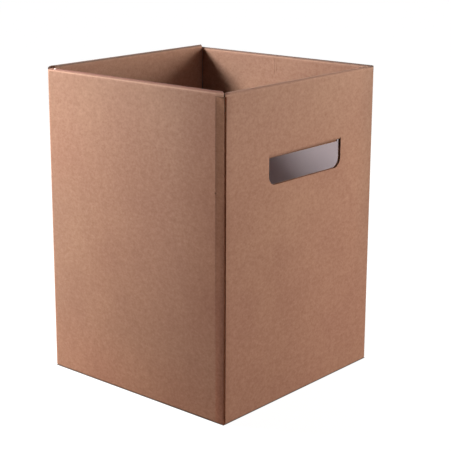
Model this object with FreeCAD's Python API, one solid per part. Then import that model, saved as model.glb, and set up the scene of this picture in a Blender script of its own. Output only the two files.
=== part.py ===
import FreeCAD, Part
import math
import os

# Florist's flower box: one die-cut sheet of white-lined kraft corrugated board, folded up
# round four walls. The top edge of every wall is rolled over inwards into a hem, the base is
# a snap lock of four flaps, and two opposite walls have a hand hole whose flap is pushed in.
#
# Millimetres. +Z is up, the origin is on the floor under the middle of the box, and the
# front wall faces -Y. Each wall is drawn in its own frame: u runs along the wall, v points
# into the box and z is up, starting from the wall's first outside corner.

# ---- overall sizes, outside
WIDTH = 180.0
DEPTH = 180.0
HEIGHT = 243.0          # floor to the crown of the rims, nominal

# ---- board
BOARD = 2.3             # thickness of the corrugated board
PLY_GAP = 0.3           # air between layers that lie on each other
GLUE_LINE = 0.1         # glue between the joint tab and the front wall

# ---- scored folds
CORNER_RADIUS = 3.1     # outside radius of the upright corner folds
BASE_RADIUS = 1.5       # outside radius of the fold between wall and base flap
SCORE_RADIUS = 1.0      # round of the pressed score line
SCORE_DEPTH = 0.05

# ---- rolled rim and hem; each wall's roll sits a little higher or lower than nominal
RIM_LIFT = {"front": -1.3, "right": -0.9, "back": 1.2, "left": -0.4}
# half the opening between two rolls at a corner, named by the wall that starts there
RIM_GAP = {"front": 0.6, "right": 0.0, "back": 0.0, "left": 0.4}
# how far each roll's two ends are knocked back at the crown
RIM_KNOCK = {"front": (0.5, 0.0), "right": (0.0, 0.0), "back": (1.4, 1.6), "left": (1.6, 0.5)}
RIM_KNOCK_DROP = 2.1    # height below the crown where that starts
HEM_END_GAP = 0.2       # hem end to the hem round the corner
HEM_END_LEAN = 0.5      # how far each hem end leans back over its depth
HEM_CORNER = 4.0        # round of the hem's lower corners

# ---- crease across the right hem
HEM_CREASE_AT = 95.0    # from the front outside corner
HEM_CREASE_TOP = 2.4    # below the crown
HEM_CREASE_LENGTH = 13.2
HEM_CREASE_RADIUS = 0.8
HEM_CREASE_DEPTH = 0.18

# ---- glued joint at the front left corner
SEAM_SETBACK = 2.4      # cut edge of the front wall, from the outside corner
SEAM_CRUSH = 1.2        # thickness of the front wall at its crushed edge
SEAM_RAMP = 6.0         # length over which the crushed board thickens again
STRIP_WIDTH = 8.2       # strip of the left wall between its score and the tab's fold
STRIP_LAP = 3.0         # length of wall drawn again with the strip, so that the two join
STRIP_SINK = 1.4        # how far the tab's fold is sunk below the wall's face
STRIP_FADE = 10.0       # height below the roll over which the sunk strip comes up
STRIP_TOP_SINK = 0.9    # how far the tab's fold is still sunk at the foot of the roll
TAB_RADIUS = 0.8        # outside radius of the tab's fold
TAB_WIDTH = 30.0
TAB_CLEARANCE = 2.0     # tab to the hem above and the base flaps below
TAB_SLOPE = 10.0        # drop of the tab's ends over its width

# ---- hand holes
HOLE_WIDTH = 87.3
HOLE_TOP = 50.5         # nominal rim height to the flap's crease
HOLE_HEIGHT = 23.8      # flap's crease to the lower edge
HOLE_OFFSET = 2.75      # hole's middle from the wall's middle, along u
HEM_CLEARANCE = 4.0     # hems' lower edges above the flap's crease
HOLE_CORNER = 7.5
ROLL_START = 5.0        # radius of the board's soft roll at the flap's crease, at the hole's first end
ROLL_END = 2.6          # and at its second end

# ---- hand hole flaps
FLAP_CLEARANCE = 0.4    # flap to the hole's edges when it is closed
HINGE_GAP = 0.3         # flap to the roll, and flap to the hem that it leans on

# ---- snap-lock base; levels count boards up from the floor
LEVEL = BOARD + PLY_GAP
STEP_START = 4.0        # a raised flap starts to climb this far inside its wall
STEP_RUN = 2.0          # length of the climb for each unit of height
STEP_OUTER = 2.5        # face radius of the bend at the foot of a climb
STEP_INNER = 0.5        # face radius of the bend at the head of a climb
FLAP_CORNER = 5.0
LOCK_SIDE_RELIEF = 10.5
LOCK_TAPER = 3.0
LOCK_SETBACK = 3.0      # lock flap's shoulders to the middle of the base
TONGUE_WIDTH = 84.0
TONGUE_LENGTH = 34.0
TONGUE_RAMP = 16.0      # part of the tongue that climbs through the slot
TONGUE_TAPER = 4.0
TONGUE_CORNER = 8.0
SLOT_CLEARANCE = 2.0    # tongue to the slot's sides and to the side flaps
SLOT_PAST_RAMP = 1.0    # slot's end past the head of the tongue's climb
SLOT_SIDE_RELIEF = 6.0
SLOT_TAPER = 2.0
SLOT_LEG_LAP = 20.0     # slotted flap's legs past the middle of the base
SIDE_FRONT_RELIEF = 9.0
SIDE_BACK_RELIEF = 15.5
SIDE_SETBACK = 12.0     # side flaps to the middle of the base
SIDE_TAPER = 3.0
SIDE_CHAMFER = 22.0

# ---- worked out from the sizes above
RIM_RADIUS = BOARD + PLY_GAP / 2
HEM_FACE = 2 * BOARD + PLY_GAP                  # v of the hem's inner face
RING_TOP = HEIGHT + min(RIM_LIFT.values()) - RIM_RADIUS
HOLE_CREASE_Z = HEIGHT - HOLE_TOP
HOLE_BOTTOM_Z = HOLE_CREASE_Z - HOLE_HEIGHT
HEM_DEPTH = HOLE_TOP - HEM_CLEARANCE            # crown of the rim to the hem's lower edge
TAB_START = 2 * BOARD                           # u at which the strip hands over to the tab
ROLL_BOTTOM_Z = HOLE_CREASE_Z - math.sqrt(ROLL_START ** 2 - (ROLL_START - BOARD) ** 2)
HINGE_V = BOARD + HINGE_GAP
HINGE_Z = ROLL_BOTTOM_Z - HINGE_GAP / 2
LOCK_REACH = DEPTH / 2 - LOCK_SETBACK
TONGUE_LEVEL = 3
SLOT_LEVEL = 2
SIDE_LEVEL = 1
REACH_PAST = 5.0                                # how far a cutter or blank runs past the cut
TOUCH = 1e-6                                    # lengths and angles below this count as none

V = FreeCAD.Vector

# quarter turns of each wall's frame, the wall's first outside corner, and its length
WALLS = {
    "front": (0, V(-WIDTH / 2, -DEPTH / 2, 0), WIDTH),
    "right": (1, V(WIDTH / 2, -DEPTH / 2, 0), DEPTH),
    "back": (2, V(WIDTH / 2, DEPTH / 2, 0), WIDTH),
    "left": (3, V(-WIDTH / 2, DEPTH / 2, 0), DEPTH),
}
NEXT_WALL = {"front": "right", "right": "back", "back": "left", "left": "front"}


# ---------------------------------------------------------------- flat outlines
def rounded_face(points, radii):
    """Face in the XY plane, with each corner rounded to its radius."""
    count = len(points)
    corners = [V(x, y, 0) for x, y in points]
    starts = []
    ends = []
    middles = []
    for i, corner in enumerate(corners):
        before = (corners[i - 1] - corner).normalize()
        after = (corners[(i + 1) % count] - corner).normalize()
        half = before.getAngle(after) / 2
        radius = radii[i]
        if radius == 0 or abs(half - math.pi / 2) < TOUCH:
            starts.append(corner)
            ends.append(corner)
            middles.append(None)
            continue
        starts.append(corner + before * (radius / math.tan(half)))
        ends.append(corner + after * (radius / math.tan(half)))
        inward = (before + after).normalize()
        middles.append(corner + inward * (radius / math.sin(half) - radius))
    edges = []
    for i in range(count):
        if middles[i] is not None:
            edges.append(Part.Arc(starts[i], middles[i], ends[i]).toShape())
        start = ends[i]
        end = starts[(i + 1) % count]
        if start.distanceToPoint(end) > TOUCH:
            edges.append(Part.LineSegment(start, end).toShape())
    return Part.Face(Part.Wire(edges))


def board_section(outline, radii):
    """Section of a folded board: its outer face follows the outline, the board lies to the left."""
    points = [V(x, y, 0) for x, y in outline]
    headings = [(b - a).normalize() for a, b in zip(points, points[1:])]
    normals = [V(-h.y, h.x, 0) for h in headings]
    back = [points[0] + normals[0] * BOARD]
    back_radii = [0]
    for i in range(1, len(points) - 1):
        n1 = normals[i - 1]
        n2 = normals[i]
        back.append(points[i] + (n1 + n2) * (BOARD / (1 + n1.dot(n2))))
        turns_left = headings[i - 1].cross(headings[i]).z > 0
        radius = radii[i - 1]
        back_radii.append(max(radius - BOARD, 0) if turns_left else radius + BOARD)
    back.append(points[-1] + normals[-1] * BOARD)
    back_radii.append(0)
    ring = points + back[::-1]
    return rounded_face([(p.x, p.y) for p in ring], [0] + list(radii) + [0] + back_radii[::-1])


# ---------------------------------------------------------------- outlines into solids
def upright(face, bottom, top):
    """Plan outline (u, v) drawn upwards."""
    face = face.copy()
    face.translate(V(0, 0, bottom))
    return face.extrude(V(0, 0, top - bottom))


def through(face, near, far):
    """Elevation outline (u, z) drawn into the box."""
    face = face.copy()
    face.rotate(V(0, 0, 0), V(1, 0, 0), 90)
    face.translate(V(0, near, 0))
    return face.extrude(V(0, far - near, 0))


def along(face, start, end):
    """Section outline (v, z) drawn along the wall."""
    face = face.copy()
    face.rotate(V(0, 0, 0), V(1, 1, 1), 120)
    face.translate(V(start, 0, 0))
    return face.extrude(V(end - start, 0, 0))


def on_wall(shape, wall):
    """Move a shape from a wall's own frame to the box."""
    turns, corner, _ = WALLS[wall]
    shape = shape.copy()
    shape.rotate(V(0, 0, 0), V(0, 0, 1), 90 * turns)
    shape.translate(corner)
    return shape


def crown(wall):
    return HEIGHT + RIM_LIFT[wall]


# ---------------------------------------------------------------- walls
def crushed_edge():
    """Wedge taken off the front wall's inner face, where its edge is pressed thin for the joint."""
    thin = BOARD - SEAM_CRUSH
    near = SEAM_SETBACK - SEAM_RAMP
    far = SEAM_SETBACK + 2 * SEAM_RAMP
    inner = SEAM_CRUSH + 2 * thin
    wedge = rounded_face([(near, SEAM_CRUSH - thin), (far, inner), (near, inner)], [0] * 3)
    return on_wall(upright(wedge, 0, RING_TOP), "front")


def wall_ring():
    """Four walls and three corner folds, from the seam round to the left wall's first score."""
    outline = [
        (-WIDTH / 2 + SEAM_SETBACK, -DEPTH / 2),
        (WIDTH / 2, -DEPTH / 2),
        (WIDTH / 2, DEPTH / 2),
        (-WIDTH / 2, DEPTH / 2),
        (-WIDTH / 2, -DEPTH / 2 + STRIP_WIDTH),
    ]
    ring = upright(board_section(outline, [CORNER_RADIUS] * 3), 0, RING_TOP)
    return ring.cut(crushed_edge())


def tab_face(u):
    """v of the tab's glued face, which follows the crushed edge of the front wall."""
    grown = (BOARD - SEAM_CRUSH) * (u - SEAM_SETBACK) / SEAM_RAMP
    return GLUE_LINE + min(BOARD, SEAM_CRUSH + grown)


def seam_section(sunk):
    """Plan of the strip and the start of the joint tab, with the tab's fold sunk from the wall."""
    left = -WIDTH / 2
    front = -DEPTH / 2
    outline = [
        (left, front + STRIP_WIDTH + STRIP_LAP),
        (left, front + STRIP_WIDTH),
        (left + sunk, front + tab_face(sunk)),
        (left + TAB_START, front + tab_face(TAB_START)),
    ]
    return board_section(outline, [0, TAB_RADIUS])


def seam():
    """Strip beside the front left corner, and the tab glued behind the front wall."""
    lower = seam_section(STRIP_SINK)
    upper = seam_section(STRIP_TOP_SINK)
    fade_start = RING_TOP - STRIP_FADE
    strip = upright(lower, 0, fade_start)
    lower.translate(V(0, 0, fade_start))
    upper.translate(V(0, 0, RING_TOP))
    fade = Part.makeLoft([lower.OuterWire, upper.OuterWire], True, True)
    return [strip, fade, on_wall(tab(), "front")]


def tab():
    """Tab behind the front wall, past the start that is drawn with the strip."""
    bottom = (TONGUE_LEVEL + 1) * LEVEL + TAB_CLEARANCE
    top = crown("front") - HEM_DEPTH - TAB_CLEARANCE
    full = SEAM_SETBACK + SEAM_RAMP
    outline = [(u, tab_face(u)) for u in (TAB_START, full, TAB_WIDTH + REACH_PAST)]
    board = upright(board_section(outline, [0]), bottom, top)
    side = rounded_face(
        [(0, bottom), (TAB_WIDTH, bottom + TAB_SLOPE), (TAB_WIDTH, top - TAB_SLOPE), (0, top)],
        [0, HEM_CORNER, HEM_CORNER, 0],
    )
    return board.common(through(side, 0, HEM_FACE))


# ---------------------------------------------------------------- rims and hems
def mitre(wall, knock):
    """Plan that cuts a wall's roll to 45 degrees at both ends, knocked back by two lengths."""
    start = RIM_GAP[wall] + knock[0]
    end = WALLS[wall][2] - RIM_GAP[NEXT_WALL[wall]] - knock[1]
    inner = HEM_FACE + REACH_PAST
    points = [
        (start - REACH_PAST, -REACH_PAST),
        (end + REACH_PAST, -REACH_PAST),
        (end - inner, inner),
        (start + inner, inner),
    ]
    return rounded_face(points, [0] * 4)


def rim(wall):
    """Roll along the top of a wall, mitred at both ends, with the ends knocked back on top."""
    length = WALLS[wall][2]
    top = crown(wall)
    section = board_section(
        [(HEM_FACE, RING_TOP), (HEM_FACE, top), (0, top), (0, RING_TOP)],
        [RIM_RADIUS, RIM_RADIUS],
    )
    roll = along(section, 0, length)
    knock_foot = top - RIM_KNOCK_DROP
    foot = mitre(wall, (0, 0))
    head = mitre(wall, RIM_KNOCK[wall])
    lower = roll.common(upright(foot, RING_TOP, knock_foot))
    foot.translate(V(0, 0, knock_foot))
    head.translate(V(0, 0, top))
    return lower.fuse(roll.common(Part.makeLoft([foot.OuterWire, head.OuterWire], True, True)))


def hem(wall):
    """Inner layer that hangs from the roll."""
    length = WALLS[wall][2]
    start = HEM_FACE + HEM_END_GAP
    end = length - HEM_END_GAP - (STRIP_WIDTH if wall == "left" else HEM_FACE)
    bottom = crown(wall) - HEM_DEPTH
    outline = [
        (start + HEM_END_LEAN, bottom),
        (end - HEM_END_LEAN, bottom),
        (end, RING_TOP),
        (start, RING_TOP),
    ]
    return through(rounded_face(outline, [HEM_CORNER, HEM_CORNER, 0, 0]), HEM_FACE - BOARD, HEM_FACE)


def score_lines(wall):
    """Rods that press the score lines at the foot of the roll, outside and inside."""
    length = WALLS[wall][2]
    z = crown(wall) - RIM_RADIUS
    centre = SCORE_RADIUS - SCORE_DEPTH
    rods = []
    for v, end in ((-centre, CORNER_RADIUS), (HEM_FACE + centre, HEM_FACE)):
        rods.append(Part.makeCylinder(SCORE_RADIUS, length - 2 * end, V(end, v, z), V(1, 0, 0)))
    return rods


def hem_crease():
    """Rod that presses the short upright crease into the right hem."""
    top = crown("right") - HEM_CREASE_TOP
    v = HEM_FACE + HEM_CREASE_RADIUS - HEM_CREASE_DEPTH
    start = V(HEM_CREASE_AT, v, top - HEM_CREASE_LENGTH)
    return Part.makeCylinder(HEM_CREASE_RADIUS, HEM_CREASE_LENGTH, start, V(0, 0, 1))


# ---------------------------------------------------------------- hand holes
def hole_span(wall):
    middle = WALLS[wall][2] / 2 + HOLE_OFFSET
    return middle - HOLE_WIDTH / 2, middle + HOLE_WIDTH / 2


def hand_hole(wall):
    start, end = hole_span(wall)
    outline = [
        (start, HOLE_BOTTOM_Z),
        (end, HOLE_BOTTOM_Z),
        (end, HOLE_CREASE_Z),
        (start, HOLE_CREASE_Z),
    ]
    return through(rounded_face(outline, [HOLE_CORNER, HOLE_CORNER, 0, 0]), -REACH_PAST, BOARD + REACH_PAST)


def roll_section(radius):
    """Section (v, z) of the roll: a round that turns in under the wall's outer face."""
    bottom = HOLE_CREASE_Z - math.sqrt(radius ** 2 - (radius - BOARD) ** 2)
    half_turn = math.acos(1 - BOARD / radius) / 2
    middle = V(radius - radius * math.cos(half_turn), HOLE_CREASE_Z - radius * math.sin(half_turn), 0)
    foot = V(BOARD, bottom, 0)
    inner = V(BOARD, HOLE_CREASE_Z, 0)
    outer = V(0, HOLE_CREASE_Z, 0)
    edges = [
        Part.Arc(outer, middle, foot).toShape(),
        Part.LineSegment(foot, inner).toShape(),
        Part.LineSegment(inner, outer).toShape(),
    ]
    return Part.Wire(edges)


def hole_roll(wall):
    """Board that rolls inwards where the flap leaves the wall, deeper at the hole's first end."""
    sections = []
    for u, radius in zip(hole_span(wall), (ROLL_START, ROLL_END)):
        wire = roll_section(radius)
        wire.rotate(V(0, 0, 0), V(1, 1, 1), 120)
        wire.translate(V(u, 0, 0))
        sections.append(wire)
    return Part.makeLoft(sections, True, True)


def hand_flap(wall):
    """Flap of a hand hole, pushed in until it leans on the lower edge of the hem."""
    start, end = hole_span(wall)
    top = HINGE_Z - HINGE_GAP / 2
    outline = [
        (start + FLAP_CLEARANCE, HOLE_BOTTOM_Z + FLAP_CLEARANCE),
        (end - FLAP_CLEARANCE, HOLE_BOTTOM_Z + FLAP_CLEARANCE),
        (end - FLAP_CLEARANCE, top),
        (start + FLAP_CLEARANCE, top),
    ]
    corner = HOLE_CORNER - FLAP_CLEARANCE
    plate = through(rounded_face(outline, [corner, corner, 0, 0]), 0, BOARD)
    rise = crown(wall) - HEM_DEPTH - HINGE_Z
    pushed_in = 180 - math.degrees(math.atan2(HEM_FACE - HINGE_V, rise))
    plate.rotate(V(0, HINGE_V, HINGE_Z), V(1, 0, 0), pushed_in)
    return on_wall(plate, wall), pushed_in


# ---------------------------------------------------------------- base
def base_flap(wall, outline, radii, plan, corners):
    """Flap folded in from a wall: its section drawn along the wall, cut to its plan."""
    length = WALLS[wall][2]
    blank = along(board_section(outline, radii), 0, length)
    trim = upright(rounded_face(plan, corners), -REACH_PAST, (TONGUE_LEVEL + 2) * LEVEL)
    return on_wall(blank.common(trim), wall)


def raised(level, reach):
    """Outline of a flap that climbs to its level just inside the wall."""
    height = level * LEVEL
    return [
        (BASE_RADIUS, 0),
        (STEP_START, 0),
        (STEP_START + STEP_RUN * height, height),
        (reach, height),
    ]


def lock_flap():
    """Front flap, lowest of the four, whose tongue climbs through the slot."""
    end = LOCK_REACH + TONGUE_LENGTH
    height = TONGUE_LEVEL * LEVEL
    outline = [(BASE_RADIUS, 0), (LOCK_REACH, 0), (LOCK_REACH + TONGUE_RAMP, height), (end, height)]
    middle = WIDTH / 2
    half = TONGUE_WIDTH / 2
    left = [
        (LOCK_SIDE_RELIEF, 0),
        (LOCK_SIDE_RELIEF + LOCK_TAPER, LOCK_REACH),
        (middle - half, LOCK_REACH),
        (middle - half + TONGUE_TAPER, end),
    ]
    plan = left + [(WIDTH - u, v) for u, v in reversed(left)]
    corners = [0, FLAP_CORNER, 0, TONGUE_CORNER, TONGUE_CORNER, 0, FLAP_CORNER, 0]
    return base_flap("front", outline, [STEP_OUTER, STEP_INNER], plan, corners)


def side_flap(wall):
    """Left or right flap, between the lock flap and the slotted flap."""
    reach = WIDTH / 2 - SIDE_SETBACK
    leg = (WIDTH - TONGUE_WIDTH) / 2 - 2 * SLOT_CLEARANCE
    shoulder = LOCK_REACH - LOCK_SETBACK
    end = DEPTH - SIDE_BACK_RELIEF
    plan = [
        (SIDE_FRONT_RELIEF, 0),
        (SIDE_FRONT_RELIEF + SIDE_TAPER, reach),
        (shoulder, reach),
        (shoulder, leg),
        (end - SIDE_CHAMFER, leg),
        (end, leg - SIDE_CHAMFER),
        (end, 0),
    ]
    if wall == "left":
        plan = [(DEPTH - y, v) for y, v in plan]
    corners = [0, FLAP_CORNER, FLAP_CORNER, FLAP_CORNER, FLAP_CORNER, FLAP_CORNER, 0]
    return base_flap(wall, raised(SIDE_LEVEL, reach + REACH_PAST), [STEP_OUTER, STEP_INNER], plan, corners)


def slot_flap():
    """Back flap, uppermost of the four, with the slot that takes the tongue."""
    middle = WIDTH / 2
    leg = DEPTH / 2 + SLOT_LEG_LAP
    slot = DEPTH - LOCK_REACH - TONGUE_RAMP - SLOT_PAST_RAMP
    half = TONGUE_WIDTH / 2 + SLOT_CLEARANCE
    left = [
        (SLOT_SIDE_RELIEF, 0),
        (SLOT_SIDE_RELIEF + SLOT_TAPER, leg),
        (middle - half, leg),
        (middle - half, slot),
    ]
    plan = left + [(WIDTH - u, v) for u, v in reversed(left)]
    corners = [0, FLAP_CORNER, FLAP_CORNER, 0, 0, FLAP_CORNER, FLAP_CORNER, 0]
    return base_flap("back", raised(SLOT_LEVEL, leg + REACH_PAST), [STEP_OUTER, STEP_INNER], plan, corners)


# ---------------------------------------------------------------- the folded sheet
def outer_block():
    """Room inside the walls' outside faces: upright corners and lower edge rounded, seam square."""
    x = WIDTH / 2
    y = DEPTH / 2
    plan = rounded_face([(-x, -y), (x, -y), (x, y), (-x, y)], [0] + [CORNER_RADIUS] * 3)
    block = upright(plan, 0, HEIGHT + REACH_PAST)
    return block.makeFillet(BASE_RADIUS, [edge for edge in block.Edges if edge.BoundBox.ZMax < TOUCH])


def folded_box():
    block = outer_block()
    pieces = [shape.common(block) for shape in seam()]
    pieces += [lock_flap(), side_flap("left"), side_flap("right"), slot_flap()]
    tools = []
    rolls = []
    for wall in WALLS:
        pieces.append(on_wall(rim(wall), wall).common(block))
        pieces.append(on_wall(hem(wall), wall))
        tools += [on_wall(rod, wall) for rod in score_lines(wall)]
    for wall in ("front", "back"):
        tools.append(on_wall(hand_hole(wall), wall))
        rolls.append(on_wall(hole_roll(wall), wall))
    tools.append(on_wall(hem_crease(), "right"))
    sheet = wall_ring().common(block)
    for piece in pieces:
        sheet = sheet.fuse(piece)
    for tool in tools:
        sheet = sheet.cut(tool)
    for roll in rolls:
        sheet = sheet.fuse(roll)
    return sheet.removeSplitter()


def write(shape, node):
    solids = shape.Solids
    print(node, "solids", len(solids), "valid", shape.isValid(), "volume", round(shape.Volume))
    shape = solids[0] if len(solids) == 1 else shape
    shape.exportStep("parts/" + node + ".step")


os.makedirs("parts", exist_ok=True)
write(folded_box(), "folded_box")
for side in ("front", "back"):
    flap, angle = hand_flap(side)
    print(side, "flap folded in by", round(angle, 2), "degrees about z", round(HINGE_Z, 3), "v", HINGE_V)
    write(flap, side + "_hand_flap")
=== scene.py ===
import math

import bmesh
import bpy
from mathutils import Matrix, Vector
from mathutils.bvhtree import BVHTree


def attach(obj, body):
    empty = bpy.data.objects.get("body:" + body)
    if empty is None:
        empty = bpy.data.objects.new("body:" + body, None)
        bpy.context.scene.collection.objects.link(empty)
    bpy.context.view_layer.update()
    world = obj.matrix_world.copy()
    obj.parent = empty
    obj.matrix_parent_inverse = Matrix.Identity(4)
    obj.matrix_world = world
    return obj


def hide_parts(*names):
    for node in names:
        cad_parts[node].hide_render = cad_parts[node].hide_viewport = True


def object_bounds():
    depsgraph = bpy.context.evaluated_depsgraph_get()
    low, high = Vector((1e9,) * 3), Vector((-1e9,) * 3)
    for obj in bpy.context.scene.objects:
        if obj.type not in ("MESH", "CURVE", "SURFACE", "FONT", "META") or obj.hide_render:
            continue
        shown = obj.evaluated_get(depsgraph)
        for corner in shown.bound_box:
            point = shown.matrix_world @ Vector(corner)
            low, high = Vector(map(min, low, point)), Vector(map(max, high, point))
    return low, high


# A florist's flower box folded from kraft corrugated board. Each visible piece is a copy of its
# CAD solid, with every face given its finish and its cut edges hollowed between the two liners.
# Metres; the front wall faces -Y and the left wall -X.

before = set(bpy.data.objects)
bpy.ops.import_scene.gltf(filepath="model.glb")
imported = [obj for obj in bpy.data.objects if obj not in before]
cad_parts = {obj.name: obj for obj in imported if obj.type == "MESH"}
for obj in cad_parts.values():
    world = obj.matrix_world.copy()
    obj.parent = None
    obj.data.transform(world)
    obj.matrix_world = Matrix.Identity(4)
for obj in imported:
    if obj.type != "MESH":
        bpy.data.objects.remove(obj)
CAD_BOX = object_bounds()

MM = 0.001

# ---- the board
BOARD = 2.3 * MM                # thickness
PLY_GAP = 0.3 * MM              # air between layers that lie on each other
FLUTE = 6.4 * MM                # pitch of the fluting, which runs up the walls
LINER = 0.35 * MM               # thickness of each liner
MEDIUM = 0.22 * MM              # thickness of the fluted sheet
CUT_DEPTH = 1.9 * MM            # how far the flutes are modelled in from a cut edge
CUT_STEP = 0.7 * MM             # length of the fluted sheet's facets
CUT_BACK = 0.12 * MM            # how far the fluted sheet stands back from the cut
CUT_SINK = 0.05 * MM            # and how far it goes into the hollow's floor

# ---- the box, from its middle
HALF = CAD_BOX[1].x             # walls' outside faces; the box is square
WALL_BACK = HALF - BOARD        # walls' inner faces
HEM_BACK = WALL_BACK - PLY_GAP  # hems' faces towards their walls
HEM_FACE = HEM_BACK - BOARD     # hems' faces towards the room
HOLE_REACH = 55.0 * MM          # the hand holes' ends are nearer than this

# ---- the box, from the floor
RIM = CAD_BOX[1].z - 1.2 * MM   # nominal rim; the highest roll stands this much above it
ROLL_FOOT = RIM - 4.0 * MM      # everything above belongs to the rolls
HEM_LOW = RIM - 49.0 * MM       # hems hang no lower than this
FOLD_HIGH = RIM - 50.0 * MM     # folds at the hand holes end below this
FOLD_TOP = RIM - 52.4 * MM      # the painted shade on a pushed-in flap's fold ends here
FOLD_LOW = RIM - 55.6 * MM      # folds at the hand holes start here
BASE_TOP = 20.0 * MM            # everything below belongs to the base
FOOT = 0.5 * MM                 # what looks down below this rests on the floor

# ---- glued joint at the front left corner, from the middle towards the left wall
JOINT_DEEP = HALF - 2.8 * MM    # nothing that shows in the joint lies deeper than this
CUT_END = HALF - 2.4 * MM       # the front wall's cut edge, before it swells
SWELL = 0.25 * MM               # how far the liner at that edge has spread
ROUND_START = HALF - 2.15 * MM  # the round of the tab's fold stands out from here
ROUND_RAMP = 0.4 * MM           # to its full height over this
BULGE = 0.60 * MM               # which is this
PAINTED_LIGHT_DEEP = HALF - 1.3 * MM          # the joint's faces deeper than this are painted pale: painted light in the crevice

# ---- the same joint, from the middle towards the front wall, and its top
STRIP_SIDE = HALF - 9.0 * MM    # faces of the joint and its strip are in front of this
ROUND_BACK = HALF - 2.0 * MM    # that round is in front of this
TAB_FRONT = HALF - 1.24 * MM    # and ends here, behind the front wall's crushed edge
JOINT_TOP = RIM - 14.0 * MM     # the joint is pressed shut above this

# ---- limits for telling the faces of the mesh apart
HAIR = 0.02 * MM                # a length that doesn't show
WELD = 0.002 * MM               # points nearer than this are one point
SLACK = 0.1 * MM                # room for a face's middle beside the plane that it's in
NEAR = 0.4 * MM                 # the same where the face may be a little bent or sunk
THROUGH = 3.6 * MM              # with more board than this behind it, a face is a cut edge
CUT_WIDTH = 2.1 * MM            # cut edges are at least this wide
CUT_AREA = 100 * MM * MM        # and have at least this area
CUT_TURN = 0.7                  # and go on where they turn by less than this, in radians
SIDE_FLAP = 140 * MM            # of the base's edges, only a side flap's is longer in Y
FACET = 1.5 * MM                # facets of a round are narrower than this
SCORE = math.radians(3)         # wider faces that turn by more than this meet at a score
CORNER = math.radians(32)       # any faces that turn by more than this meet at a corner


# ---------------------------------------------------------------- camera
def add_camera():
    """Looks down a little at the corner between the front and left walls."""
    eye = Vector((-722.16, -630.58, 377.81)) * MM
    turn = math.radians(42.023)         # from +X towards +Y
    dip = math.radians(14.233)
    roll = math.radians(-0.171)
    level_ahead = Vector((math.cos(turn), math.sin(turn), 0))
    ahead = level_ahead * math.cos(dip) - Vector((0, 0, math.sin(dip)))
    level = Vector((math.sin(turn), -math.cos(turn), 0))
    above = level.cross(ahead)
    right = level * math.cos(roll) + above * math.sin(roll)
    up = above * math.cos(roll) - level * math.sin(roll)
    data = bpy.data.cameras.new("camera")
    data.sensor_width = 36
    data.lens = 99.518
    data.shift_x = 0.0725
    data.shift_y = -0.0528
    camera = bpy.data.objects.new("camera", data)
    matrix = Matrix((right, up, -ahead)).transposed().to_4x4()
    matrix.translation = eye
    camera.matrix_world = matrix
    bpy.context.collection.objects.link(camera)
    bpy.context.scene.camera = camera


# ---------------------------------------------------------------- node helpers
class Nodes:
    """A material's nodes, added and joined in one call each."""

    def __init__(self, name):
        self.material = bpy.data.materials.new(name)
        self.material.use_nodes = True
        self.tree = self.material.node_tree
        self.shader = self.tree.nodes["Principled BSDF"]
        place = self.tree.nodes.new("ShaderNodeTexCoord")
        self.place = place.outputs["Object"]
        self.facing = place.outputs["Normal"]

    def put(self, socket, value):
        if isinstance(value, bpy.types.NodeSocket):
            self.tree.links.new(value, socket)
        else:
            socket.default_value = value

    def scaled(self, x, y, z):
        node = self.tree.nodes.new("ShaderNodeMapping")
        node.inputs["Scale"].default_value = (x, y, z)
        self.put(node.inputs["Vector"], self.place)
        return node.outputs["Vector"]

    def noise(self, vector, scale=1.0, detail=2.0, roughness=0.5):
        node = self.tree.nodes.new("ShaderNodeTexNoise")
        node.inputs["Scale"].default_value = scale
        node.inputs["Detail"].default_value = detail
        node.inputs["Roughness"].default_value = roughness
        self.put(node.inputs["Vector"], vector)
        return node.outputs["Fac"]

    def calc(self, operation, a, b=0.0):
        node = self.tree.nodes.new("ShaderNodeMath")
        node.operation = operation
        self.put(node.inputs[0], a)
        self.put(node.inputs[1], b)
        return node.outputs["Value"]

    def times(self, first, *others):
        for other in others:
            first = self.calc("MULTIPLY", first, other)
        return first

    def distance(self, a, b):
        node = self.tree.nodes.new("ShaderNodeVectorMath")
        node.operation = "DISTANCE"
        self.put(node.inputs[0], a)
        self.put(node.inputs[1], b)
        return node.outputs["Value"]

    def ranged(self, value, low, high, to_low=0.0, to_high=1.0):
        """Goes straight from `to_low` where the value is `low` to `to_high` where it is `high`."""
        node = self.tree.nodes.new("ShaderNodeMapRange")
        self.put(node.inputs["Value"], value)
        names = ("From Min", "From Max", "To Min", "To Max")
        for name, number in zip(names, (low, high, to_low, to_high)):
            node.inputs[name].default_value = number
        return node.outputs["Result"]

    def band(self, distance, start, end, to_start=0.0, to_end=1.0):
        """The same for a distance, whose two limits are given in millimetres."""
        return self.ranged(distance, start * MM, end * MM, to_start, to_end)

    def mix(self, factor, a, b, blend="MIX"):
        node = self.tree.nodes.new("ShaderNodeMix")
        node.data_type = "RGBA"
        node.blend_type = blend
        self.put(node.inputs[0], factor)
        self.put(node.inputs[6], a)
        self.put(node.inputs[7], b)
        return node.outputs[2]

    def tone(self, colour, mask, factors):
        """Colour multiplied by the factors where the mask is 1."""
        return self.mix(mask, colour, factors, "MULTIPLY")

    def bump(self, height, strength, distance, normal=None):
        node = self.tree.nodes.new("ShaderNodeBump")
        node.inputs["Strength"].default_value = strength
        node.inputs["Distance"].default_value = distance
        self.put(node.inputs["Height"], height)
        if normal is not None:
            self.put(node.inputs["Normal"], normal)
        return node.outputs["Normal"]

    def axes(self, vector):
        node = self.tree.nodes.new("ShaderNodeSeparateXYZ")
        self.put(node.inputs[0], vector)
        return node.outputs


def rgb(r, g, b):
    """Colour given in 8-bit display values, as the linear value that a node takes."""
    out = []
    for level in (r, g, b):
        shown = level / 255
        out.append(shown / 12.92 if shown <= 0.04045 else ((shown + 0.055) / 1.055) ** 2.4)
    return (*out, 1.0)


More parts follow.
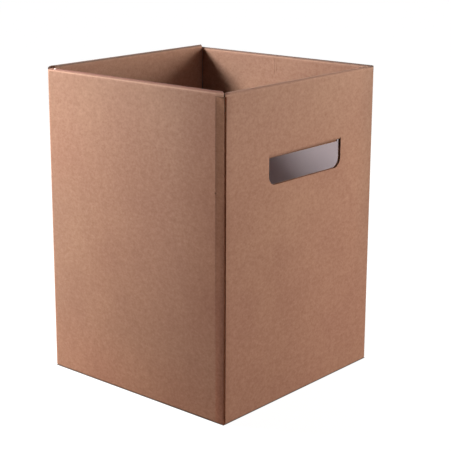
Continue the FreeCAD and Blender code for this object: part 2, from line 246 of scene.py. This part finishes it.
# ---------------------------------------------------------------- kraft liner
class Places:
    """A shaded point's distances from the box's faces, and masks that are 1 on some parts of it."""

    def __init__(self, n):
        x, y, self.height = n.axes(n.place)
        self.plan = (x, y)
        self.from_left = n.calc("ADD", x, HALF)
        self.from_right = n.calc("SUBTRACT", HALF, x)
        self.from_front = n.calc("ADD", y, HALF)
        self.from_back = n.calc("SUBTRACT", HALF, y)
        self.below_rim = n.calc("SUBTRACT", RIM, self.height)
        self.on_left = n.band(self.from_left, 2.8, 1.6)
        self.on_front = n.band(self.from_front, 2.8, 1.6)
        self.on_strip = n.times(n.band(self.from_front, 8.6, 7.0), self.on_left,
                                n.band(self.below_rim, 0.6, 2.2))


def kraft_paper(n, fibres, specks, grain, wisps):
    """Mottled brown with pale and dark fibres, dark specks and a fine grain."""
    mottle = n.noise(n.place, 28, detail=3)
    cloud = n.noise(n.place, 9, detail=1)
    colour = n.mix(n.ranged(mottle, 0.3, 0.7), rgb(165, 123, 101), rgb(173, 132, 108))
    colour = n.mix(n.ranged(cloud, 0.3, 0.7, 0, 0.35), colour, rgb(176, 130, 110))
    colour = n.mix(n.ranged(fibres, 0.60, 0.78, 0, 0.30), colour, rgb(196, 158, 132))
    colour = n.mix(n.ranged(fibres, 0.40, 0.24, 0, 0.32), colour, rgb(132, 92, 70))
    colour = n.mix(n.ranged(specks, 0.68, 0.76, 0, 0.45), colour, rgb(104, 70, 54))
    for speckle, depth in ((grain, 0.085), (wisps, 0.06)):
        pale = (1 + depth, 1 + 1.4 * depth, 1 + 1.7 * depth, 1)
        dark = (1 - depth, 1 - 1.4 * depth, 1 - 1.7 * depth, 1)
        colour = n.tone(colour, 1.0, n.mix(n.ranged(speckle, 0.25, 0.75), dark, pale))
    return colour


def painted_wall_light(n, at, colour):
    """Painted light and shade on the walls: each a mask and what it does to red, green and blue."""
    foot = n.band(at.height, 240, 0)
    top = n.band(at.height, 170, 230)
    strip = n.mix(n.band(at.height, 90, 210), (0.97, 0.81, 0.77, 1), (1.18, 1.03, 0.90, 1))
    strip = n.mix(n.band(at.below_rim, 4.5, 3.5), strip, (0.86, 0.81, 0.77, 1))
    painted_shade_by_strip = n.times(n.band(at.from_front, 45, 9), n.band(at.from_front, 7.0, 8.6),
                     at.on_left, n.band(at.height, 20, 90))
    far = n.times(at.on_left, n.band(at.from_back, 55, 5),
                  n.band(at.height, 10, 60), n.band(at.below_rim, 58, 108))
    high = n.times(at.on_left, n.band(at.from_front, 30, 70), n.band(at.from_back, 4, 30),
                   n.band(at.below_rim, 83, 28))
    low = n.times(at.on_left, n.band(at.from_back, 10, 60), n.band(at.height, 45, 5))
    right = n.times(at.on_front, n.band(at.from_right, 22, 2), n.band(at.height, 50, 120))
    lap = n.times(n.band(at.from_left, 8.5, 2.8), n.band(at.from_front, 0.7, 0.3),
                  n.band(at.below_rim, 28, 8, 0.45, 1.0))
    tones = (
        (foot, (0.95, 0.88, 0.85, 1)),      # painted shade: browner and darker towards the floor
        (top, (1.0, 1.045, 1.06, 1)),       # greyer towards the rim: painted sheen
        (at.on_strip, strip),               # strip beside the glued joint: painted shade low down, painted light higher up, painted shade under the rim
        (painted_shade_by_strip, (0.90, 0.82, 0.79, 1)),    # left wall, beside that strip: painted shade
        (far, (0.89, 0.91, 0.93, 1)),       # left wall, at its far edge: painted shade
        (high, (1.08, 1.09, 1.09, 1)),      # left wall, high up: painted light
        (low, (1.08, 1.03, 1.01, 1)),       # left wall, along its foot: painted light
        (right, (0.88, 0.91, 0.92, 1)),     # front wall, at its right edge: painted shade
        (lap, (0.80, 0.76, 0.75, 1)),       # front wall, where its edge laps the strip: painted shade in the joint
    )
    for mask, tone in tones:
        colour = n.tone(colour, mask, tone)
    return colour


def hem_crack(n, at, colour, wisps):
    """Broken line along the crease across the right hem."""
    off_line = n.calc("ABSOLUTE", n.calc("SUBTRACT", at.from_front, 93.5 * MM))
    crack = n.times(n.band(off_line, 0.8, 0.3),
                    n.band(at.from_right, 6.0, 5.5), n.band(at.from_right, 3.0, 3.5),
                    n.band(at.below_rim, 16.5, 14.0), n.ranged(wisps, 0.40, 0.62, 0.05, 0.60))
    return n.mix(crack, colour, rgb(124, 86, 68))


def rim_painted_light(n, at, colour):
    """Painted light on the rolls: highlights on their shoulders, painted shade and sheen on their
    crests, the front crest pale.
    """
    up = n.axes(n.facing)[2]
    rim = n.band(at.below_rim, 6.0, 4.5)
    left = n.band(at.from_left, 8, 4)
    right = n.band(at.from_right, 8, 4)
    front = n.band(at.from_front, 8, 4)
    back = n.band(at.from_back, 8, 4)
    right_or_back = n.calc("MAXIMUM", right, n.times(back, n.ranged(left, 1, 0)))
    # Shoulders turned sideways: painted highlight, strongest on the back and right rolls, weak on the
    # strip.
    painted_highlight = n.times(n.ranged(up, 0.0, 0.25), n.ranged(up, 0.70, 0.40), rim,
                  n.ranged(left, 0, 1, 0.12, 0.32), n.ranged(at.on_strip, 0, 1, 1.0, 0.2),
                  n.ranged(right_or_back, 0, 1, 1.0, 2.6))
    colour = n.mix(painted_highlight, colour, rgb(216, 174, 152))
    # Crests: painted shade on the left roll, grey painted sheen on the back and right ones, painted
    # highlight on the front one.
    crest = n.times(n.ranged(left, 0, 1, 0.40, 0.80), rim, n.ranged(up, 0.40, 0.92),
                    n.ranged(right_or_back, 0, 1, 1.0, 1.6))
    front_only = n.times(front, n.ranged(left, 1, 0), n.ranged(right, 1, 0))
    tint = n.mix(back, rgb(98, 90, 86), rgb(140, 130, 124))
    tint = n.mix(left, tint, rgb(124, 80, 70))
    tint = n.mix(front_only, tint, rgb(208, 164, 146))
    return n.mix(crest, colour, tint)


def small_marks(n, colour):
    """Single spots: from the left face, from the front face and below the rim, in millimetres."""
    marks = (
        # place, where it starts and is full, strength, colour
        ((0.1, 8.1, 71.6), 1.0, 0.4, 0.7, rgb(84, 50, 34)),         # speck beside the strip
        # dark spot: painted shade in the gap between two rolls
        ((3.2, 176.5, 0.6), 2.2, 1.0, 0.8, rgb(48, 36, 30)),        # opening between two rolls
        ((1.7, 171.8, 0.6), 1.1, 0.6, 0.9, rgb(250, 242, 236)),     # torn fleck beside it
    )
    for (right, back, down), start, full, strength, tint in marks:
        centre = (right * MM - HALF, back * MM - HALF, RIM - down * MM)
        mask = n.band(n.distance(n.place, centre), start, full, 0, strength)
        colour = n.mix(mask, colour, tint)
    return colour


def kraft_material():
    """Brown kraft liner with a crack, marks and painted light and shade; the fluting below it just
    shows through.
    """
    n = Nodes("kraft")
    at = Places(n)
    fibres = n.noise(n.scaled(500, 500, 2600), detail=3, roughness=0.6)
    specks = n.noise(n.place, 1700, detail=2)
    grain = n.noise(n.scaled(560, 560, 680), detail=2, roughness=0.5)
    wisps = n.noise(n.scaled(200, 200, 300), detail=1)
    colour = kraft_paper(n, fibres, specks, grain, wisps)
    colour = painted_wall_light(n, at, colour)
    colour = hem_crack(n, at, colour, wisps)
    colour = rim_painted_light(n, at, colour)
    colour = small_marks(n, colour)
    n.put(n.shader.inputs["Base Color"], colour)
    n.put(n.shader.inputs["Roughness"], n.ranged(specks, 0.3, 0.7, 0.78, 0.90))
    n.shader.inputs["Specular IOR Level"].default_value = 0.3
    waves = [n.calc("SINE", n.times(along, 2 * math.pi / FLUTE)) for along in at.plan]
    fine = n.bump(n.calc("ADD", fibres, specks), 0.25, 0.06 * MM)
    fine = n.bump(grain, 0.35, 0.08 * MM, fine)
    n.put(n.shader.inputs["Normal"], n.bump(n.calc("ADD", *waves), 0.10, 0.02 * MM, fine))
    return n.material


# ---------------------------------------------------------------- other materials
def white_material():
    """White liner, a little lilac, with grey fibres."""
    n = Nodes("white_liner")
    fibres = n.noise(n.scaled(450, 450, 2200), detail=3, roughness=0.6)
    mottle = n.noise(n.place, 30, detail=3)
    colour = n.mix(n.ranged(mottle, 0.3, 0.7), rgb(181, 170, 173), rgb(188, 177, 179))
    colour = n.mix(n.ranged(fibres, 0.40, 0.25, 0, 0.35), colour, rgb(160, 146, 147))
    n.put(n.shader.inputs["Base Color"], colour)
    n.put(n.shader.inputs["Roughness"], n.ranged(fibres, 0.3, 0.7, 0.68, 0.82))
    n.shader.inputs["Specular IOR Level"].default_value = 0.35
    n.put(n.shader.inputs["Normal"], n.bump(fibres, 0.25, 0.05 * MM))
    return n.material


def edge_material(name, dark, pale):
    """Cut edge of the board: raw paper; the joint's copy is given pale colours as painted light."""
    n = Nodes(name)
    fibres = n.noise(n.place, 2400, detail=3, roughness=0.65)
    colour = n.mix(n.ranged(fibres, 0.35, 0.65), dark, pale)
    n.put(n.shader.inputs["Base Color"], colour)
    n.shader.inputs["Roughness"].default_value = 0.95
    n.shader.inputs["Specular IOR Level"].default_value = 0.2
    n.put(n.shader.inputs["Normal"], n.bump(fibres, 0.5, 0.1 * MM))
    return n.material


def floor_material():
    """White to the camera apart from the soft shadow and the dark below the box; bounces little."""
    n = Nodes("floor")
    n.shader.inputs["Base Color"].default_value = (0.16, 0.16, 0.16, 1)
    n.shader.inputs["Roughness"].default_value = 0.9
    n.shader.inputs["Specular IOR Level"].default_value = 0.0
    n.shader.inputs["Emission Color"].default_value = (1, 1, 1, 1)
    x, y, _ = n.axes(n.place)
    from_middle = n.calc("MAXIMUM", n.calc("ABSOLUTE", x), n.calc("ABSOLUTE", y))
    clear = n.ranged(from_middle, HALF - 0.6 * MM, HALF - 0.2 * MM)
    glow = n.band(n.distance(n.place, (0, 0, 0)), 200, 700, 0.94, 1.0)
    paths = n.tree.nodes.new("ShaderNodeLightPath")
    seen = n.times(glow, clear, paths.outputs["Is Camera Ray"])
    n.put(n.shader.inputs["Emission Strength"], seen)
    return n.material


# ---------------------------------------------------------------- the board's visible surfaces
KRAFT, WHITE, EDGE, JOINT = range(4)


def thickness(tree, centre, normal):
    """Board behind a face, measured straight through."""
    hit = tree.ray_cast(centre - normal * HAIR, -normal)
    return hit[3] if hit[0] is not None else math.inf


def in_joint(centre, normal):
    """True for the faces that look out to the left from the glued joint."""
    looks_left = normal.x < -0.1 and centre.x < -JOINT_DEEP
    return looks_left and centre.y < -STRIP_SIDE and centre.z < ROLL_FOOT


def box_finish(tree, centre, normal):
    """Kraft outside, white inside, and raw paper where the board is cut through."""
    axis = 0 if abs(normal.x) > abs(normal.y) else 1
    place = centre[axis] * math.copysign(1, normal[axis])   # from the middle, the way it looks
    on_floor = normal.z < -0.3 and centre.z < FOOT
    if place > HALF - NEAR or on_floor:
        return KRAFT
    if in_joint(centre, normal):
        # Deeper in the joint the faces take the pale joint finish: painted light in the crevice.
        return JOINT if centre.x > -PAINTED_LIGHT_DEEP and centre.z < JOINT_TOP else KRAFT
    if abs(-place - HEM_FACE) < NEAR and centre.z > HEM_LOW and abs(normal.z) < 0.5:
        return KRAFT
    if thickness(tree, centre, normal) > THROUGH:
        return EDGE
    if abs(normal.z) > 0.5:
        inside_roll = normal.z < 0 and centre.z > ROLL_FOOT
        on_base = normal.z > 0 and centre.z < BASE_TOP
        return WHITE if inside_roll or on_base else KRAFT
    if centre.z > ROLL_FOOT:
        in_slit = HEM_BACK - SLACK < abs(place) < WALL_BACK + SLACK
        return WHITE if in_slit else KRAFT
    if place > 0:
        behind_hem = place < HEM_BACK + SLACK and centre.z > HEM_LOW
        return WHITE if behind_hem else KRAFT
    return WHITE


def flap_finish(side):
    """A pushed-in flap turns its kraft side to the room; its fold, in shade under the roll, takes the
    dark cut-edge finish as painted shade.
    """
    def finish(tree, centre, normal):
        if thickness(tree, centre, normal) > THROUGH:
            return EDGE
        if normal.y * side > 0:
            return KRAFT
        # Painted shade: the fold's face under the roll takes the dark cut-edge finish.
        return EDGE if centre.z < FOLD_TOP else WHITE
    return finish


# ---------------------------------------------------------------- cut edges
def cut_edges(bm):
    """Runs of cut edge through the board's full thickness, each with its rim; folds are left out."""
    seen = {face for face in bm.faces if FOLD_LOW < face.calc_center_median().z < FOLD_HIGH}
    runs = []
    for first in bm.faces:
        if first.material_index != EDGE or first in seen:
            continue
        seen.add(first)
        run = [first]
        for face in run:
            for edge in face.edges:
                for other in edge.link_faces:
                    goes_on = edge.calc_face_angle(math.pi) < CUT_TURN
                    if goes_on and other.material_index == EDGE and other not in seen:
                        seen.add(other)
                        run.append(other)
        area = sum(face.calc_area() for face in run)
        inside = set(run)
        edges = [edge for face in run for edge in face.edges]
        rim = [edge for edge in edges if not inside.issuperset(edge.link_faces)]
        width = 2 * area / sum(edge.calc_length() for edge in rim)
        if width > CUT_WIDTH and area > CUT_AREA:
            runs.append((run, rim))
    return runs


def mean_normal(faces):
    total = Vector()
    for face in faces:
        total += face.normal * face.calc_area()
    return total.normalized()


def medium_sections(run, rim):
    """Lengths of the run's kraft side: two ends each, as place, out of the cut, into the board."""
    inside = set(run)
    for edge in rim:
        if not any(face.material_index == KRAFT for face in edge.link_faces):
            continue
        ends = []
        for vert in edge.verts:
            out = mean_normal([face for face in vert.link_faces if face in inside])
            through = -mean_normal([face for face in vert.link_faces if face.material_index == KRAFT])
            through = (through - out * through.dot(out)).normalized()
            ends.append((vert.co.copy(), out, through))
        yield ends


def medium_strip(ends, wave_axis):
    """Corners of the fluted sheet along one length of cut edge, as rings of four."""
    (a, out_a, through_a), (b, out_b, through_b) = ends
    steps = max(1, math.ceil(abs(b[wave_axis] - a[wave_axis]) / CUT_STEP))
    swing = BOARD / 2 - LINER - MEDIUM / 2
    rings = []
    for i in range(steps + 1):
        t = i / steps
        out = out_a.lerp(out_b, t).normalized()
        through = through_a.lerp(through_b, t).normalized()
        place = a.lerp(b, t)
        wave = math.sin(2 * math.pi * place[wave_axis] / FLUTE)
        middle = place + through * (BOARD / 2 + swing * wave)
        one = middle - through * (MEDIUM / 2)
        two = middle + through * (MEDIUM / 2)
        shallow = -out * CUT_BACK
        deep = -out * (CUT_DEPTH + CUT_SINK)
        rings.append([one + shallow, two + shallow, two + deep, one + deep])
    return rings


def add_rings(bm, rings):
    """Closed strip through rings of four corners."""
    loops = [[bm.verts.new(corner) for corner in ring] for ring in rings]
    faces = [bm.faces.new(loops[0][::-1]), bm.faces.new(loops[-1])]
    for one, two in zip(loops, loops[1:]):
        for i in range(4):
            k = (i + 1) % 4
            faces.append(bm.faces.new((one[i], one[k], two[k], two[i])))
    for face in faces:
        face.material_index = EDGE
        face.smooth = True


def wave_direction(run, through):
    """Axis along which the fluting waves; a wall's flutes run up it and on into its base flap."""
    lies_flat = abs(through.z) > 0.7
    if lies_flat:
        places = [vert.co.y for face in run for vert in face.verts]
        return 1 if max(places) - min(places) > SIDE_FLAP else 0
    return 1 if abs(through.x) > abs(through.y) else 0


def open_cut_edges(bm):
    """Hollows every cut edge between its two liners and stands the fluted sheet in the hollow."""
    strips = []
    hollows = []
    for run, rim in cut_edges(bm):
        for ends in medium_sections(run, rim):
            through = ends[0][2]
            strips.append(medium_strip(ends, wave_direction(run, through)))
        hollows.append(run)
    options = {"use_boundary": True, "use_even_offset": False}
    for run in hollows:
        bmesh.ops.inset_region(bm, faces=run, thickness=LINER, depth=0, **options)
        bmesh.ops.inset_region(bm, faces=run, thickness=HAIR, depth=-CUT_DEPTH, **options)
    for rings in strips:
        add_rings(bm, rings)
    raw = [face for face in bm.faces if face.material_index == EDGE]
    bmesh.ops.recalc_face_normals(bm, faces=raw)


# ---------------------------------------------------------------- visible pieces
def breadth(face):
    """Width of a long narrow facet."""
    return 2 * face.calc_area() / max(edge.calc_length() for edge in face.edges)


def sharp(edge):
    """True at a cut or a score; the narrow facets of a round stay smooth."""
    if not edge.is_manifold:
        return True
    angle = edge.calc_face_angle()
    wide = min(breadth(face) for face in edge.link_faces) > FACET
    return angle > CORNER or (wide and angle > SCORE)


def join_hole_ends(bm, fold):
    """Makes one face of each end of a hand hole, so that it's cut across and hollowed cleanly."""
    ends = []
    for face in bm.faces:
        heights = [vert.co.z for vert in face.verts]
        ends_hole = abs(face.normal.x) > 0.99 and abs(face.calc_center_median().x) < HOLE_REACH
        if ends_hole and min(heights) < fold < max(heights):
            ends.append(face)
    bmesh.ops.dissolve_faces(bm, faces=ends)


def spread_joint(bm):
    """Swells the front wall's cut edge in the glued joint and stands out the tab's round by it."""
    for vert in bm.verts:
        place = vert.co
        if abs(place.x + CUT_END) < HAIR and place.y < -TAB_FRONT:
            place.x -= SWELL
        if -TAB_FRONT < place.y < -ROUND_BACK and place.x < -ROUND_START:
            place.y -= BULGE * min((-ROUND_START - place.x) / ROUND_RAMP, 1)


def board(node, name, body, finish, fold, materials):
    """Visible piece in place of a CAD node; `fold` is a height at which its finish changes."""
    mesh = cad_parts[node].data.copy()
    mesh.name = name
    mesh.materials.clear()
    for material in materials:
        mesh.materials.append(material)
    bm = bmesh.new()
    bm.from_mesh(mesh)
    bmesh.ops.remove_doubles(bm, verts=bm.verts, dist=WELD)
    bm.normal_update()
    join_hole_ends(bm, fold)
    whole = bm.verts[:] + bm.edges[:] + bm.faces[:]
    bmesh.ops.bisect_plane(bm, geom=whole, plane_co=(0, 0, fold), plane_no=(0, 0, 1))
    tree = BVHTree.FromBMesh(bm)
    for face in bm.faces:
        face.material_index = finish(tree, face.calc_center_median(), face.normal)
        face.smooth = True
    spread_joint(bm)
    open_cut_edges(bm)
    bm.normal_update()
    for edge in bm.edges:
        edge.smooth = not sharp(edge)
    bm.to_mesh(mesh)
    bm.free()
    piece = bpy.data.objects.new(name, mesh)
    bpy.context.collection.objects.link(piece)
    weighted = piece.modifiers.new("flat_walls", "WEIGHTED_NORMAL")
    weighted.keep_sharp = True
    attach(piece, body)
    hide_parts(node)
    return piece


# ---------------------------------------------------------------- stage and light
def add_floor():
    """Plain floor just below the box, which reaches out of every view."""
    mesh = bpy.data.meshes.new("floor")
    reach = 20.0
    corners = [(-reach, -reach, 0), (reach, -reach, 0), (reach, reach, 0), (-reach, reach, 0)]
    mesh.from_pydata(corners, [], [(0, 1, 2, 3)])
    floor = bpy.data.objects.new("floor", mesh)
    floor.location.z = -0.05 * MM
    mesh.materials.append(floor_material())
    bpy.context.collection.objects.link(floor)


def add_light(name, place, size, watts, aim=(0, 0, 0.12)):
    """Square soft box; its power is given for red, green and blue."""
    data = bpy.data.lights.new(name, "AREA")
    data.shape = "SQUARE"
    data.size = size
    data.energy = max(watts)
    data.color = [level / max(watts) for level in watts]
    light = bpy.data.objects.new(name, data)
    light.location = place
    light.rotation_euler = (Vector(aim) - Vector(place)).to_track_quat("-Z", "Y").to_euler()
    light.visible_camera = False
    bpy.context.collection.objects.link(light)


def add_world():
    """White to the camera, and nearly no light on the object."""
    world = bpy.data.worlds.new("world")
    bpy.context.scene.world = world
    world.use_nodes = True
    nodes = world.node_tree.nodes
    links = world.node_tree.links
    background = nodes["Background"]
    background.inputs["Color"].default_value = (1, 1, 1, 1)
    paths = nodes.new("ShaderNodeLightPath")
    strength = nodes.new("ShaderNodeMapRange")
    strength.inputs["To Min"].default_value = 0.01
    strength.inputs["To Max"].default_value = 1.0
    links.new(paths.outputs["Is Camera Ray"], strength.inputs["Value"])
    links.new(strength.outputs["Result"], background.inputs["Strength"])


add_camera()
add_floor()
add_world()
add_light("high_left", (-0.300, 0.484, 0.566), 0.180, (7.1, 7.1, 7.2))
add_light("near_left", (-0.220, 0.320, 0.300), 0.200, (0.60, 0.50, 0.48), (-0.090, 0.030, 0.120))
add_light("foot_left", (-0.200, 0.300, 0.040), 0.120, (1.00, 0.98, 0.86), (-0.090, 0.000, 0.120))
add_light("low_front", (0.450, -0.800, 0.330), 0.250, (7.8, 7.4, 7.1))
add_light("fill_right", (0.700, 0.700, 0.550), 0.600, (2, 2, 2))

finishes = [    # in the order of KRAFT, WHITE, EDGE and JOINT
    kraft_material(),
    white_material(),
    edge_material("cut_edge", rgb(104, 72, 54), rgb(140, 102, 80)),
    # pale: painted light in the joint's crevice
    edge_material("joint_painted_light", rgb(214, 132, 98), rgb(236, 152, 116)),
]
board("folded_box", "box_board", "box", box_finish, FOLD_LOW, finishes)
board("front_hand_flap", "front_flap_board", "front_flap", flap_finish(1), FOLD_TOP, finishes)
board("back_hand_flap", "back_flap_board", "back_flap", flap_finish(-1), FOLD_TOP, finishes)

bpy.context.scene.view_settings.view_transform = "Standard"
